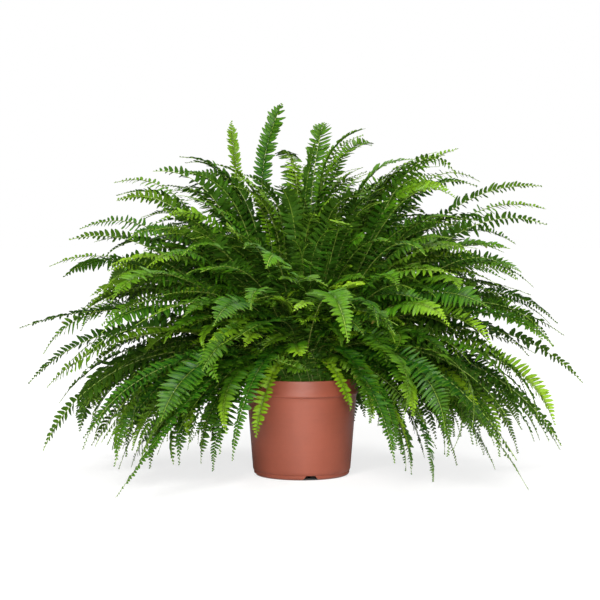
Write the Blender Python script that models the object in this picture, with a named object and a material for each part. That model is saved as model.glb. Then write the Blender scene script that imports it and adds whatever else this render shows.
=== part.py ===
"""Potted Boston fern: a moulded plastic pot, its compost, the fern's crown and its fronds.

Metres, +Z up. The origin lies on the pot's axis, on the surface that the pot stands on, and -Y is the front.
Each frond is one closed solid of its outline: a narrow stalk that widens into a thin blade.
"""

import itertools
import math
from collections import namedtuple

import bmesh
import bpy
import numpy as np
from mathutils import Matrix
from mathutils.bvhtree import BVHTree

GAP = 0.0003  # kept between pieces that touch

# Pot: a 20 cm nursery pot, outer radii from the foot to the rim
POT_HEIGHT = 0.177
POT_WALL = 0.0018
POT_STEPS = 64  # flats around the pot, and around what fills it
FOOT_RADIUS = 0.0830
FOOT_WIDTH = 0.0080
FOOT_HEIGHT = 0.0080
FOOT_ROUND = 0.0060
BODY_BASE_RADIUS = 0.0890
BODY_TOP_RADIUS = 0.0995
RIDGE_RADIUS = 0.1030
RIDGE_HEIGHT = 0.1515
RIDGE_HALF = 0.0045
COLLAR_RADIUS = 0.1000
BASE_THICKNESS = 0.0022

# Drainage: notches through the foot ring and round holes through the raised base
NOTCH_COUNT = 4
NOTCH_TURN = math.radians(280.6)
NOTCH_FOOT_WIDTH = 0.0280
NOTCH_TOP_WIDTH = 0.0160
NOTCH_HEIGHT = 0.0078
HOLE_COUNT = 5
HOLE_RADIUS = 0.0065
HOLE_RING_RADIUS = 0.0480

# Compost and crown
SOIL_TOP = 0.1600
SOIL_EDGE_DROP = 0.0030
SOIL_FLAT_RADIUS = 0.0600
CROWN_RADIUS = 0.0580
CROWN_CENTRE = 0.1420
CROWN_STEPS = 32
CROWN_RINGS = 7

# Fronds
RINGS = 15  # cross-sections along a frond, before its pointed tip
CURVE_SAMPLES = 240
RISE_PULL = 0.42  # how strongly a frond keeps its first direction, as a share of its chord
FALL_PULL = 0.36  # and its last direction
STALK_SHARE = 0.11  # share of the length that is bare stalk
STALK_WIDTH = 0.0032
STALK_THICKNESS = 0.0026
BLADE_THICKNESS = 0.0013
BLADE_GROWTH = 0.62  # the outline widens as this power of the way along the blade
BLADE_TAPER = 0.80  # and narrows as this power of the way left to the tip
CLEARANCE = 0.0012  # kept between any two fronds
TURN_STEP = 1.5  # degrees, when a frond is turned aside to clear the others
MOST_TURNS = 24
ROLL_TRIES = (0, 15, -15, 30, -30)  # degrees

# azimuth, rise and fall angles in degrees (azimuth from +X towards +Y, fall below level at the tip);
# reach of the tip from the axis, its height and the blade's width in metres;
# sweep is the sideways turn from crown to tip, and roll the turn of the blade about its own stalk
Frond = namedtuple("Frond", "azimuth reach height rise fall sweep roll width")

UPRIGHT = (
    Frond(155, 0.055, 0.675, 78, -120, -25, -70, 0.044),
    Frond(70, 0.122, 0.645, 77, -50, 0, 0, 0.058),
    Frond(330, 0.030, 0.602, 84, -70, 0, 0, 0.040),
    Frond(10, 0.122, 0.628, 73, -15, 8, 0, 0.042),
    Frond(43, 0.185, 0.605, 72, 5, 0, 30, 0.040),
    Frond(138, 0.178, 0.648, 66, -85, 0, -30, 0.030),
    Frond(250, 0.110, 0.520, 80, -20, 0, 0, 0.056),
    Frond(305, 0.150, 0.500, 74, 10, 10, 0, 0.060),
    Frond(100, 0.190, 0.590, 72, 10, 0, 0, 0.056),
)

ARCHING = (
    Frond(172, 0.222, 0.575, 66, 0, 0, -30, 0.052),
    Frond(186, 0.268, 0.548, 60, 5, 0, 40, 0.062),
    Frond(167, 0.358, 0.530, 54, 15, 0, -30, 0.054),
    Frond(191, 0.333, 0.495, 52, 20, -5, 45, 0.060),
    Frond(160, 0.423, 0.444, 50, 25, 8, -40, 0.056),
    Frond(182, 0.420, 0.425, 48, 15, 0, 35, 0.060),
    Frond(172, 0.472, 0.375, 42, 25, 0, -25, 0.050),
    Frond(200, 0.365, 0.380, 44, 30, 5, 50, 0.062),
    Frond(10, 0.292, 0.592, 60, -15, 0, 30, 0.056),
    Frond(339, 0.283, 0.541, 62, 55, 5, -45, 0.062),
    Frond(22, 0.364, 0.533, 58, 30, 0, 35, 0.054),
    Frond(0, 0.435, 0.522, 54, 5, 0, -35, 0.058),
    Frond(16, 0.480, 0.482, 50, 15, 0, 30, 0.056),
    Frond(350, 0.439, 0.452, 48, 20, 0, -45, 0.060),
    Frond(30, 0.450, 0.415, 48, 35, -6, 40, 0.056),
    Frond(340, 0.398, 0.356, 46, 55, 0, -50, 0.060),
    Frond(228, 0.300, 0.400, 58, 40, 0, 10, 0.062),
    Frond(262, 0.270, 0.380, 60, 45, 0, 0, 0.060),
    Frond(279, 0.455, 0.270, 56, 50, 0, 0, 0.058),
    Frond(312, 0.310, 0.400, 56, 40, 0, -10, 0.062),
    Frond(62, 0.360, 0.470, 56, 35, 0, 10, 0.060),
    Frond(92, 0.400, 0.420, 54, 40, 0, 0, 0.062),
    Frond(124, 0.360, 0.500, 56, 25, 0, -10, 0.060),
)

TRAILING = (
    Frond(179, 0.515, 0.264, 40, 20, 0, 25, 0.044),
    Frond(189, 0.490, 0.171, 42, 50, 0, 40, 0.052),
    Frond(160, 0.470, 0.192, 38, 45, 0, -30, 0.054),
    Frond(201, 0.403, 0.225, 36, 45, 0, 50, 0.058),
    Frond(196, 0.475, 0.064, 36, 65, 6, 55, 0.062),
    Frond(218, 0.435, 0.085, 38, 60, 0, 45, 0.056),
    Frond(232, 0.482, 0.018, 34, 40, 0, 25, 0.034),
    Frond(242, 0.405, 0.055, 36, 65, 0, 20, 0.056),
    Frond(252, 0.300, 0.062, 64, 84, 0, 20, 0.034),
    Frond(8, 0.454, 0.245, 42, 50, 0, 30, 0.054),
    Frond(356, 0.506, 0.168, 40, 50, 0, -35, 0.056),
    Frond(14, 0.505, 0.026, 40, 60, 0, 35, 0.052),
    Frond(342, 0.473, 0.069, 38, 60, 0, -50, 0.060),
    Frond(328, 0.407, 0.130, 40, 55, 0, -40, 0.058),
    Frond(319, 0.489, 0.020, 36, 55, 0, -30, 0.036),
    Frond(309, 0.500, 0.075, 38, 50, 0, -35, 0.064),
    Frond(308, 0.330, 0.060, 62, 76, 0, -20, 0.042),
    Frond(142, 0.450, 0.120, 38, 60, 0, -20, 0.058),
    Frond(118, 0.480, 0.060, 38, 60, 0, 10, 0.058),
    Frond(96, 0.440, 0.140, 40, 60, 0, 0, 0.060),
    Frond(74, 0.480, 0.050, 38, 62, 0, -10, 0.056),
    Frond(50, 0.450, 0.130, 40, 58, 0, 20, 0.058),
)

YOUNG = (
    Frond(244, 0.180, 0.085, 58, 82, 0, 0, 0.030),
    Frond(302, 0.160, 0.130, 58, 78, 0, 0, 0.022),
    Frond(278, 0.140, 0.300, 72, 20, 0, 0, 0.030),
)

FROND_KINDS = {"young": YOUNG, "upright": UPRIGHT, "arching": ARCHING, "trailing": TRAILING}


# ---- helpers -----------------------------------------------------------------------------------------------


def material(name, colour, roughness):
    made = bpy.data.materials.new(name)
    made.use_nodes = True
    shader = made.node_tree.nodes["Principled BSDF"]
    shader.inputs["Base Color"].default_value = (*colour, 1.0)
    shader.inputs["Roughness"].default_value = roughness
    shader.inputs["Metallic"].default_value = 0.0
    made.diffuse_color = (*colour, 1.0)
    return made


def place(name, mesh_maker, finish, parent=None):
    """Gives a bmesh an object of its own with its material, shaded smooth away from its corners."""
    mesh = bpy.data.meshes.new(name)
    bmesh.ops.recalc_face_normals(mesh_maker, faces=mesh_maker.faces)
    mesh_maker.to_mesh(mesh)
    mesh_maker.free()
    mesh.shade_smooth()
    mesh.set_sharp_from_angle(angle=math.radians(35))
    mesh.materials.append(finish)
    piece = bpy.data.objects.new(name, mesh)
    piece.parent = parent
    bpy.context.scene.collection.objects.link(piece)
    return piece


def turned(profile, steps):
    """A solid of revolution about Z from (radius, height) points that start and end on the axis."""
    shape = bmesh.new()
    points = [shape.verts.new((radius, 0, height)) for radius, height in profile]
    edges = [shape.edges.new(pair) for pair in zip(points, points[1:])]
    bmesh.ops.spin(
        shape,
        geom=points + edges,
        axis=(0, 0, 1),
        cent=(0, 0, 0),
        angle=2 * math.pi,
        steps=steps,
        use_merge=True,
    )
    bmesh.ops.remove_doubles(shape, verts=shape.verts, dist=1e-6)
    return shape


def cut(piece, shape, name):
    """Cuts a closed bmesh out of a piece with an exact Boolean."""
    mesh = bpy.data.meshes.new(name)
    bmesh.ops.recalc_face_normals(shape, faces=shape.faces)
    shape.to_mesh(mesh)
    shape.free()
    cutter = bpy.data.objects.new(name, mesh)
    cutter.hide_render = True
    cutter.display_type = "WIRE"
    bpy.context.scene.collection.objects.link(cutter)
    modifier = piece.modifiers.new(name, "BOOLEAN")
    modifier.operation = "DIFFERENCE"
    modifier.solver = "EXACT"
    modifier.object = cutter


# ---- pot, compost and crown ----------------------------------------------------------------------------------


def wall_radius(height):
    """Outer radius of the tapered wall between the foot and the ridge."""
    low = FOOT_HEIGHT + FOOT_ROUND
    share = (height - low) / (RIDGE_HEIGHT - RIDGE_HALF - low)
    return BODY_BASE_RADIUS + share * (BODY_TOP_RADIUS - BODY_BASE_RADIUS)


def pot_profile():
    """The pot's section, up the outside from the middle of its underside and down the inside."""
    low = FOOT_HEIGHT + FOOT_ROUND
    ridge_foot = RIDGE_HEIGHT - RIDGE_HALF
    ridge_top = RIDGE_HEIGHT + RIDGE_HALF
    lip = POT_WALL / 2
    return [
        (0, FOOT_HEIGHT),
        (FOOT_RADIUS - FOOT_WIDTH - 0.001, FOOT_HEIGHT),
        (FOOT_RADIUS - FOOT_WIDTH, 0),
        (FOOT_RADIUS - 0.0012, 0),
        (FOOT_RADIUS + 0.0018, 0.0012),
        (FOOT_RADIUS + 0.0040, 0.0050),
        (FOOT_RADIUS + 0.0036, 0.0068),
        (FOOT_RADIUS + 0.0050, 0.0080),
        (wall_radius(low), low),
        (wall_radius(ridge_foot), ridge_foot),
        (RIDGE_RADIUS - 0.0008, ridge_foot + 0.0014),
        (RIDGE_RADIUS, RIDGE_HEIGHT - 0.0006),
        (RIDGE_RADIUS - 0.0006, RIDGE_HEIGHT + 0.0022),
        (COLLAR_RADIUS + 0.0006, ridge_top),
        (COLLAR_RADIUS, POT_HEIGHT - lip),
        (COLLAR_RADIUS - lip, POT_HEIGHT),
        (COLLAR_RADIUS - 2 * lip, POT_HEIGHT),
        (COLLAR_RADIUS - 3 * lip, POT_HEIGHT - lip),
        (COLLAR_RADIUS - POT_WALL, ridge_top),
        (wall_radius(ridge_foot) - POT_WALL, ridge_foot),
        (wall_radius(low) - POT_WALL, low),
        (FOOT_RADIUS, FOOT_HEIGHT + BASE_THICKNESS),
        (0, FOOT_HEIGHT + BASE_THICKNESS),
    ]


def notch_cutter(angle):
    """A trapezoid bar that runs out through the foot ring."""
    shape = bmesh.new()
    inner = FOOT_RADIUS - FOOT_WIDTH - 0.004
    outer = FOOT_RADIUS + 0.012
    below = -0.004
    slope = (NOTCH_FOOT_WIDTH - NOTCH_TOP_WIDTH) / 2 / NOTCH_HEIGHT
    low_half = NOTCH_FOOT_WIDTH / 2 - below * slope
    high_half = NOTCH_TOP_WIDTH / 2
    section = ((-low_half, below), (low_half, below), (high_half, NOTCH_HEIGHT), (-high_half, NOTCH_HEIGHT))
    near = [shape.verts.new((inner, across, up)) for across, up in section]
    face = shape.faces.new(near)
    far = bmesh.ops.extrude_face_region(shape, geom=[face])["geom"]
    moved = [v for v in far if isinstance(v, bmesh.types.BMVert)]
    bmesh.ops.translate(shape, verts=moved, vec=(outer - inner, 0, 0))
    bmesh.ops.rotate(shape, verts=shape.verts, cent=(0, 0, 0), matrix=Matrix.Rotation(angle, 3, "Z"))
    return shape


def hole_cutter(angle):
    shape = bmesh.new()
    centre = (HOLE_RING_RADIUS * math.cos(angle), HOLE_RING_RADIUS * math.sin(angle), FOOT_HEIGHT)
    bmesh.ops.create_cone(
        shape,
        cap_ends=True,
        segments=16,
        radius1=HOLE_RADIUS,
        radius2=HOLE_RADIUS,
        depth=4 * BASE_THICKNESS,
        matrix=Matrix.Translation(centre),
    )
    return shape


def make_pot(parent):
    finish = material("pot_plastic", (0.40, 0.105, 0.06), 0.42)
    pot = place("pot", turned(pot_profile(), POT_STEPS), finish, parent)
    for index in range(NOTCH_COUNT):
        cut(pot, notch_cutter(NOTCH_TURN + index * 2 * math.pi / NOTCH_COUNT), f"notch_{index + 1}")
    for index in range(HOLE_COUNT):
        cut(pot, hole_cutter(index * 2 * math.pi / HOLE_COUNT), f"drain_hole_{index + 1}")
    return pot


def make_soil(parent):
    """The compost, a hair smaller than the inside of the pot, flat where the crown sits."""
    low = FOOT_HEIGHT + FOOT_ROUND
    ridge_foot = RIDGE_HEIGHT - RIDGE_HALF
    inset = POT_WALL + 1.5 * GAP
    edge = SOIL_TOP - SOIL_EDGE_DROP
    profile = [
        (0, FOOT_HEIGHT + BASE_THICKNESS + GAP),
        (FOOT_RADIUS - 2 * GAP, FOOT_HEIGHT + BASE_THICKNESS + GAP),
        (wall_radius(low) - inset, low + GAP),
        (wall_radius(ridge_foot) - inset - GAP, ridge_foot),
        (COLLAR_RADIUS - inset - GAP, edge),
        (SOIL_FLAT_RADIUS, SOIL_TOP),
        (0, SOIL_TOP),
    ]
    return place("soil", turned(profile, POT_STEPS), material("soil", (0.028, 0.018, 0.012), 0.95), parent)


def make_crown(parent):
    """A ball's cap that sits on the compost, with every frond square to its surface."""
    foot = SOIL_TOP + GAP
    lowest = math.asin((foot - CROWN_CENTRE) / CROWN_RADIUS)
    profile = [(0, foot)]
    for index in range(CROWN_RINGS):
        angle = lowest + index * (math.pi / 2 - lowest) / CROWN_RINGS
        profile.append((CROWN_RADIUS * math.cos(angle), CROWN_CENTRE + CROWN_RADIUS * math.sin(angle)))
    profile.append((0, CROWN_CENTRE + CROWN_RADIUS))
    return place("crown", turned(profile, CROWN_STEPS), material("crown", (0.11, 0.07, 0.03), 0.85), parent)


# ---- fronds ----------------------------------------------------------------------------------------------------


def arch(frond, samples):
    """Points, widthways directions and upward directions along a frond, evenly spaced from crown to tip."""
    rise = math.radians(frond.rise)
    fall = math.radians(frond.fall)
    seat = CROWN_RADIUS + GAP
    start = np.array([seat * math.cos(rise), CROWN_CENTRE + seat * math.sin(rise)])
    tip = np.array([frond.reach, frond.height])
    chord = np.linalg.norm(tip - start)
    first = start + RISE_PULL * chord * np.array([math.cos(rise), math.sin(rise)])
    last = tip + FALL_PULL * chord * np.array([-math.cos(fall), math.sin(fall)])
    t = np.linspace(0, 1, CURVE_SAMPLES)[:, None]
    curve = (1 - t) ** 3 * start + 3 * t * (1 - t) ** 2 * first + 3 * t**2 * (1 - t) * last + t**3 * tip
    walked = np.concatenate([[0], np.cumsum(np.linalg.norm(np.diff(curve, axis=0), axis=1))])
    along = np.linspace(0, 1, samples)
    out = np.interp(along * walked[-1], walked, curve[:, 0])
    up = np.interp(along * walked[-1], walked, curve[:, 1])
    turn = np.radians(frond.azimuth + frond.sweep * along**2)
    points = np.stack([out * np.cos(turn), out * np.sin(turn), up], axis=1)
    heading = np.gradient(points, axis=0)
    heading /= np.linalg.norm(heading, axis=1)[:, None]
    side = np.stack([-np.sin(turn), np.cos(turn), np.zeros(samples)], axis=1)
    side -= (side * heading).sum(axis=1)[:, None] * heading
    side /= np.linalg.norm(side, axis=1)[:, None]
    over = np.cross(heading, side)
    roll = np.radians(frond.roll * along)[:, None]
    return points, np.cos(roll) * side + np.sin(roll) * over, np.cos(roll) * over - np.sin(roll) * side


def outline(frond, along):
    """Full width of a frond: a bare stalk, then a lance-shaped blade."""
    way = np.clip((along - STALK_SHARE) / (1 - STALK_SHARE), 0, 1)
    widest = BLADE_GROWTH / (BLADE_GROWTH + BLADE_TAPER)
    most = widest**BLADE_GROWTH * (1 - widest) ** BLADE_TAPER
    return np.maximum(STALK_WIDTH, frond.width * way**BLADE_GROWTH * (1 - way) ** BLADE_TAPER / most)


def cross_sections(frond, margin=0.0):
    """Four corners for each ring along a frond, and its tip; a margin makes the blade wider and thicker."""
    along = np.linspace(0, 1, RINGS + 1)
    points, side, over = arch(frond, RINGS + 1)
    half = outline(frond, along) / 2
    slim = np.clip(2 * half / frond.width, 0, 1)
    thick = (STALK_THICKNESS + (BLADE_THICKNESS - STALK_THICKNESS) * slim) / 2
    across = side * (half + margin)[:, None]
    upward = over * (thick + margin)[:, None]
    corners = np.stack([points + across, points + upward, points - across, points - upward], axis=1)
    return corners[:-1], points[-1]


def guard(frond):
    """The frond's skin, let out by half the clearance, for finding where two fronds would meet."""
    corners, tip = cross_sections(frond, CLEARANCE / 2)
    faces = []
    for ring in range(RINGS):
        for index in range(4):
            near = 4 * ring + index
            after = 4 * ring + (index + 1) % 4
            faces.append((near, after, after + 4, near + 4) if ring < RINGS - 1 else (near, after, 4 * RINGS))
    return BVHTree.FromPolygons([*corners.reshape(-1, 3).tolist(), tip.tolist()], faces)


def settled(frond, grown):
    """The frond, turned about the axis and rolled by as little as it takes to clear the others."""
    for step in range(MOST_TURNS):
        turn = TURN_STEP * ((step + 1) // 2) * (1 if step % 2 else -1)
        for roll in ROLL_TRIES:
            tried = frond._replace(azimuth=frond.azimuth + turn, roll=frond.roll + roll)
            skin = guard(tried)
            if not any(skin.overlap(other) for other in grown):
                grown.append(skin)
                return tried
    raise RuntimeError(f"no room for {frond}")


def frond_mesh(frond):
    """A closed blade: four-sided rings from the crown, drawn to a point at the tip.

    Both faces of a half blade are split along the same diagonal, so that a twist can't make them cross.
    """
    corners, point = cross_sections(frond)
    shape = bmesh.new()
    rings = [[shape.verts.new(corner) for corner in ring] for ring in corners]
    tip = shape.verts.new(point)
    shape.faces.new(rings[0])
    for near, far in zip(rings, rings[1:]):
        for edge, ridge in itertools.product((0, 2), (1, 3)):
            shape.faces.new((near[edge], near[ridge], far[ridge]))
            shape.faces.new((near[edge], far[ridge], far[edge]))
    for index in range(4):
        shape.faces.new((rings[-1][index], rings[-1][(index + 1) % 4], tip))
    return shape


def make_fronds(parent):
    finishes = {
        "upright": material("frond_upright", (0.045, 0.16, 0.03), 0.5),
        "arching": material("frond_arching", (0.05, 0.18, 0.03), 0.5),
        "trailing": material("frond_trailing", (0.035, 0.13, 0.03), 0.5),
        "young": material("frond_young", (0.22, 0.42, 0.05), 0.5),
    }
    grown = []
    for kind, fronds in FROND_KINDS.items():
        for index, frond in enumerate(fronds):
            frond = settled(frond, grown)
            place(f"{kind}_frond_{index + 1:02d}", frond_mesh(frond), finishes[kind], parent)


def main():
    for left in list(bpy.data.objects):
        bpy.data.objects.remove(left, do_unlink=True)
    plant = bpy.data.objects.new("potted_fern", None)
    bpy.context.scene.collection.objects.link(plant)
    make_pot(plant)
    make_soil(plant)
    make_crown(plant)
    make_fronds(plant)


main()
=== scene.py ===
"""Looks of a potted sword fern: leafy fronds, compost, crown and moulded pot.

Metres, +Z up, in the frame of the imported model. Each part of the plant grows from where that model puts it.
"""

import math
from collections import defaultdict, namedtuple

import bmesh
import bpy
import numpy as np
from bpy.props import FloatProperty, FloatVectorProperty, IntProperty, PointerProperty
from mathutils import Matrix, Vector


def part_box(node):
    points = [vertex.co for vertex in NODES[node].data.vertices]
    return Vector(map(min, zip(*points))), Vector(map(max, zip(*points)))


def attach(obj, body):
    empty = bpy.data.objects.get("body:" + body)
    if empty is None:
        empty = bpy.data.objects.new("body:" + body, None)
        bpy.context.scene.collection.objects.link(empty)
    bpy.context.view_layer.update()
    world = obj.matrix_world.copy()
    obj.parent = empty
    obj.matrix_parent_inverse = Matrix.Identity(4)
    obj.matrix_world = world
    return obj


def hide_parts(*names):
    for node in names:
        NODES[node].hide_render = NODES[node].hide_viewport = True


bl_info = {
    "name": "Potted Sword Fern",
    "version": (1, 0, 0),
    "blender": (4, 5, 0),
    "location": "3D View > Sidebar > Fern",
    "description": "Grows a sword fern in a moulded nursery pot, frond by frond",
    "category": "Add Mesh",
}

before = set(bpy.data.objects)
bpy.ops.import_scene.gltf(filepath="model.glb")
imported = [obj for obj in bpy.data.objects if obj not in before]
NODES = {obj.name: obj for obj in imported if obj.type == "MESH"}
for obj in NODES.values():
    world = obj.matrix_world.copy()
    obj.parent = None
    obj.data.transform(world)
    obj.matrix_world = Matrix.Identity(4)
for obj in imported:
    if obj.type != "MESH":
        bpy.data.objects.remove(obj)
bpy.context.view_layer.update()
BODY = "root"

# The crown is a ball's cap, so its box gives the ball: every frond starts square to its surface
CROWN_LOW, CROWN_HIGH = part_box("crown")
CROWN_RISE = CROWN_HIGH.z - CROWN_LOW.z
CROWN_RADIUS = (CROWN_HIGH.x**2 + CROWN_RISE**2) / (2 * CROWN_RISE)
CROWN_CENTRE = CROWN_HIGH.z - CROWN_RADIUS
SOIL_LOW, SOIL_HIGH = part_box("soil")
_, POT_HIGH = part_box("pot")

STATIONS = 16  # cross-sections that describe a frond, from its seat to its tip

# A frond's course: points, widthways and upward directions, and half its width, at each station
Course = namedtuple("Course", "points side over half")

# How a frond looks. spacing: distance between leaflets as a share of the frond's width. rows: which rows of
# corners a leaflet has. breadth: its width as a share of that distance. lift: its rise above the frond's
# plane, in degrees. droop: how far its end sinks, as a share of its length. twist: its turn about its own
# length, in degrees. tip: how much fuller than its solid the frond is near its tip. most: the longest leaflet
# as a share of the frond's widest half. fresh: how young the frond is, from 0 to 1
Habit = namedtuple("Habit", "spacing rows breadth lift droop twist tip most fresh")


# ---- settings ------------------------------------------------------------------------


class FernPotSettings(bpy.types.PropertyGroup):
    wall: FloatProperty(
        name="Wall", description="Thickness of the pot's moulded wall", default=0.0018, unit="LENGTH"
    )
    steps: IntProperty(name="Steps", description="Flats around the pot", default=160, min=48)
    colour: FloatVectorProperty(
        name="Plastic", description="Colour of the plastic", default=(0.282, 0.068, 0.037), size=3,
        subtype="COLOR",
    )


class FernLeafSettings(bpy.types.PropertyGroup):
    spacing: FloatProperty(
        name="Leaflet spacing", description="Distance between leaflets as a share of the frond's width",
        default=0.18,
    )
    thickness: FloatProperty(
        name="Leaflet thickness", description="Thickness at a leaflet's midrib", default=0.0005,
        unit="LENGTH",
    )
    stalk: FloatProperty(
        name="Stalk radius", description="Radius of a frond's stalk at the crown", default=0.0013,
        unit="LENGTH",
    )
    seed: IntProperty(name="Seed", description="Start of the random draws", default=11)
    mature: FloatVectorProperty(
        name="Mature green", description="Colour of full-grown leaflets", default=(0.0315, 0.156, 0.0036),
        size=3, subtype="COLOR",
    )
    deep: FloatVectorProperty(
        name="Deep green", description="Colour of the oldest leaflets", default=(0.0060, 0.044, 0.0042),
        size=3, subtype="COLOR",
    )
    young: FloatVectorProperty(
        name="Young green", description="Colour of fresh leaflets and tips", default=(0.230, 0.400, 0.012),
        size=3, subtype="COLOR",
    )
    # the underside's own duller green, kept darker still as painted shade
    underside: FloatVectorProperty(
        name="Underside", description="Colour of the leaflets from below", default=(0.044, 0.102, 0.010),
        size=3, subtype="COLOR",
    )
    stem: FloatVectorProperty(
        name="Stalk", description="Colour of the stalks", default=(0.170, 0.230, 0.040), size=3,
        subtype="COLOR",
    )


class FernSoilSettings(bpy.types.PropertyGroup):
    lumps: IntProperty(name="Lumps", description="Loose lumps on the compost", default=420, min=0)
    colour: FloatVectorProperty(
        name="Compost", description="Colour of the compost", default=(0.022, 0.014, 0.009), size=3,
        subtype="COLOR",
    )
    stubs: IntProperty(name="Stubs", description="Old frond bases on the crown", default=150, min=0)
    bark: FloatVectorProperty(
        name="Crown", description="Colour of the crown's scales", default=(0.085, 0.046, 0.018), size=3,
        subtype="COLOR",
    )


class FernStageSettings(bpy.types.PropertyGroup):
    distance: FloatProperty(
        name="Camera distance", description="From the pot's axis to the camera", default=3.0, unit="LENGTH"
    )
    height: FloatProperty(name="Camera height", description="Above the floor", default=0.45, unit="LENGTH")
    aside: FloatProperty(
        name="Camera aside", description="How far left of the axis the camera stands", default=0.0031,
        unit="LENGTH",
    )
    pitch: FloatProperty(
        name="Pitch", description="How far the camera looks down", default=math.radians(2.557),
        unit="ROTATION",
    )
    lens: FloatProperty(name="Lens", description="Focal length in millimetres", default=99.42)
    floor: FloatVectorProperty(
        name="Floor", description="Colour of the floor", default=(0.80, 0.80, 0.80), size=3,
        subtype="COLOR",
    )
    glow_share: FloatProperty(
        name="Shadow depth", description="Share of the floor's shading that the camera sees", default=0.36
    )


# ---- shader helpers ------------------------------------------------------------------


def feed(tree, made, inputs):
    """Fills a node's inputs: a socket is linked, anything else is its value."""
    for key, value in inputs.items():
        if isinstance(value, bpy.types.NodeSocket):
            tree.links.new(value, made.inputs[key])
        else:
            made.inputs[key].default_value = value


def node(tree, kind, inputs=None, **settings):
    """Adds a shader node, with its settings and its inputs."""
    made = tree.nodes.new(kind)
    for name, value in settings.items():
        setattr(made, name, value)
    feed(tree, made, inputs or {})
    return made


def maths(tree, operation, first, *others, clamp=False):
    """Takes values together one after another; clamp keeps what comes of them between 0 and 1."""
    for other in others or (0.0,):
        inputs = {0: first, 1: other}
        first = node(tree, "ShaderNodeMath", inputs, operation=operation, use_clamp=clamp).outputs[0]
    return first


def eased(tree, value, low, high, to_low=0.0, to_high=1.0):
    """A value carried smoothly from one range to another."""
    inputs = {"Value": value, "From Min": low, "From Max": high, "To Min": to_low, "To Max": to_high}
    return node(tree, "ShaderNodeMapRange", inputs, interpolation_type="SMOOTHSTEP").outputs[0]


def blended(tree, factor, first, second):
    return node(tree, "ShaderNodeMix", {0: factor, 6: first, 7: second}, data_type="RGBA").outputs[2]


def noise(tree, place, scale, detail):
    return node(tree, "ShaderNodeTexNoise", {"Vector": place, "Scale": scale, "Detail": detail}).outputs[0]


def bumped(tree, height, strength, distance):
    """The normal of a surface that a height stands out from."""
    inputs = {"Strength": strength, "Distance": distance, "Height": height}
    return node(tree, "ShaderNodeBump", inputs).outputs[0]


def parts_of(tree, attribute):
    """The three numbers of a point attribute."""
    found = node(tree, "ShaderNodeAttribute", attribute_name=attribute)
    return node(tree, "ShaderNodeSeparateXYZ", {0: found.outputs["Vector"]}).outputs


def object_place(tree):
    return node(tree, "ShaderNodeTexCoord").outputs["Object"]


def new_group(name, inputs, outputs):
    """An empty node group with its sockets; inputs are (name, type, default)."""
    tree = bpy.data.node_groups.new(name, "ShaderNodeTree")
    for label, kind, default in inputs:
        socket = tree.interface.new_socket(label, in_out="INPUT", socket_type=kind)
        socket.default_value = default
    for label, kind in outputs:
        tree.interface.new_socket(label, in_out="OUTPUT", socket_type=kind)
    return tree, node(tree, "NodeGroupInput").outputs, node(tree, "NodeGroupOutput")


def new_material(name):
    made = bpy.data.materials.new(name)
    made.use_nodes = True
    return made, made.node_tree, made.node_tree.nodes["Principled BSDF"]


def opaque(colour):
    return (*colour, 1.0)


def scaled(colour, by):
    return tuple(by * value for value in colour)


def mixed_colour(first, second, share):
    return tuple(a + (b - a) * share for a, b in zip(first, second))


def mottle_group():
    """Soft blotches with finer grain in them, in the object's own space."""
    name = "Mottle"
    if name in bpy.data.node_groups:
        return bpy.data.node_groups[name]
    tree, start, end = new_group(
        name,
        (("Scale", "NodeSocketFloat", 40.0), ("Grain", "NodeSocketFloat", 0.5)),
        (("Mask", "NodeSocketFloat"), ("Height", "NodeSocketFloat")),
    )
    place = object_place(tree)
    broad = noise(tree, place, start["Scale"], 3.0)
    fine = noise(tree, place, maths(tree, "MULTIPLY", start["Scale"], 7.3), 2.0)
    mixed = node(tree, "ShaderNodeMix", {0: start["Grain"], 2: broad, 3: fine}, data_type="FLOAT").outputs[0]
    feed(tree, end, {"Mask": eased(tree, mixed, 0.35, 0.65), "Height": mixed})
    return tree


def mottled(tree, scale, grain):
    inputs = {"Scale": scale, "Grain": grain}
    return node(tree, "ShaderNodeGroup", inputs, node_tree=mottle_group()).outputs


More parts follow.
